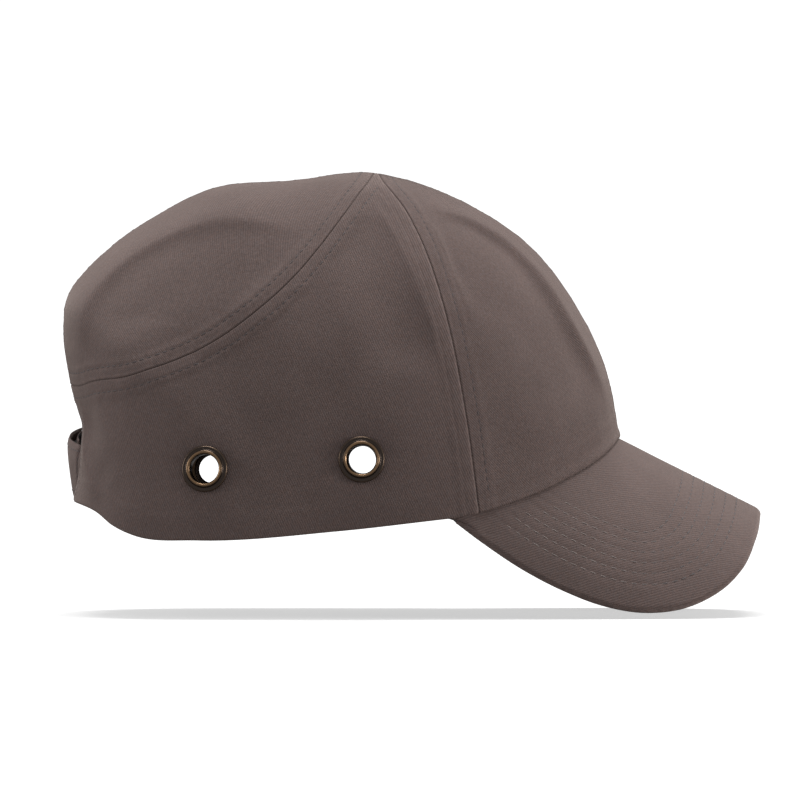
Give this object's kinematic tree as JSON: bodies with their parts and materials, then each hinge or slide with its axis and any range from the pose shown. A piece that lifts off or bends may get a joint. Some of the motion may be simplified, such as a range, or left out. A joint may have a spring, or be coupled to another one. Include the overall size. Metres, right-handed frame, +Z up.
{
  "type": "bump cap",
  "caption": "Sewn fabric cap with a curved visor, open brass eyelets, a hook-and-loop closure at the back and a removable vented impact shell with foam pads.",
  "frame": {"origin": "middle of the bounding box in X and Y, at the height of the lowest point of the visor", "axes": "+X towards the visor, +Y towards the wearer's left, +Z up"},
  "size_m": [0.2777, 0.1794, 0.1753],
  "materials": {
    "twill": "cotton twill, matt",
    "terry": "looped sweatband cloth",
    "tape": "woven seam tape",
    "hook_and_loop": "hook-and-loop pile",
    "brass": "antique brass",
    "visor_board": "moulded sheet",
    "abs": "moulded, fine texture",
    "foam": "closed-cell foam"
  },
  "bodies": {
    "cap": {"front_panel_left": "twill", "front_panel_right": "twill", "side_panel_left": "twill", "side_panel_right": "twill", "crown_panel_left": "twill", "crown_panel_right": "twill", "visor_top_cover": "twill", "visor_under_cover": "twill", "visor_board": "visor_board", "sweatband": "terry", "arch_binding": "tape", "centre_seam_tape": "tape", "front_seam_tape_left": "tape", "front_seam_tape_right": "tape", "crown_seam_tape_left": "tape", "crown_seam_tape_right": "tape", "hook_strap_root": "twill", "loop_strap": "twill", "loop_patch": "hook_and_loop", "eyelet_front_left": "brass", "eyelet_washer_front_left": "brass", "eyelet_front_right": "brass", "eyelet_washer_front_right": "brass", "eyelet_rear_left": "brass", "eyelet_washer_rear_left": "brass", "eyelet_rear_right": "brass", "eyelet_washer_rear_right": "brass"},
    "liner": {"impact_shell": "abs", "crown_pad": "foam", "front_pad": "foam", "rear_pad": "foam", "side_pad_left": "foam", "side_pad_right": "foam"},
    "strap_tail": {"hook_strap_tail": "twill", "hook_patch": "hook_and_loop"}
  },
  "joints": [
    {"name": "liner_slide", "type": "slide", "parent": "liner", "child": "cap", "axis": [-0.2334, 0, 0.9724], "range_m": [0, 0.16]},
    {"name": "strap_peel", "type": "hinge", "parent": "cap", "child": "strap_tail", "pos_m": [-0.13571, -0.0145, 0.0458], "axis": [0.1219, -0.4646, 0.8771], "range_deg": [0, 100]}
  ]
}
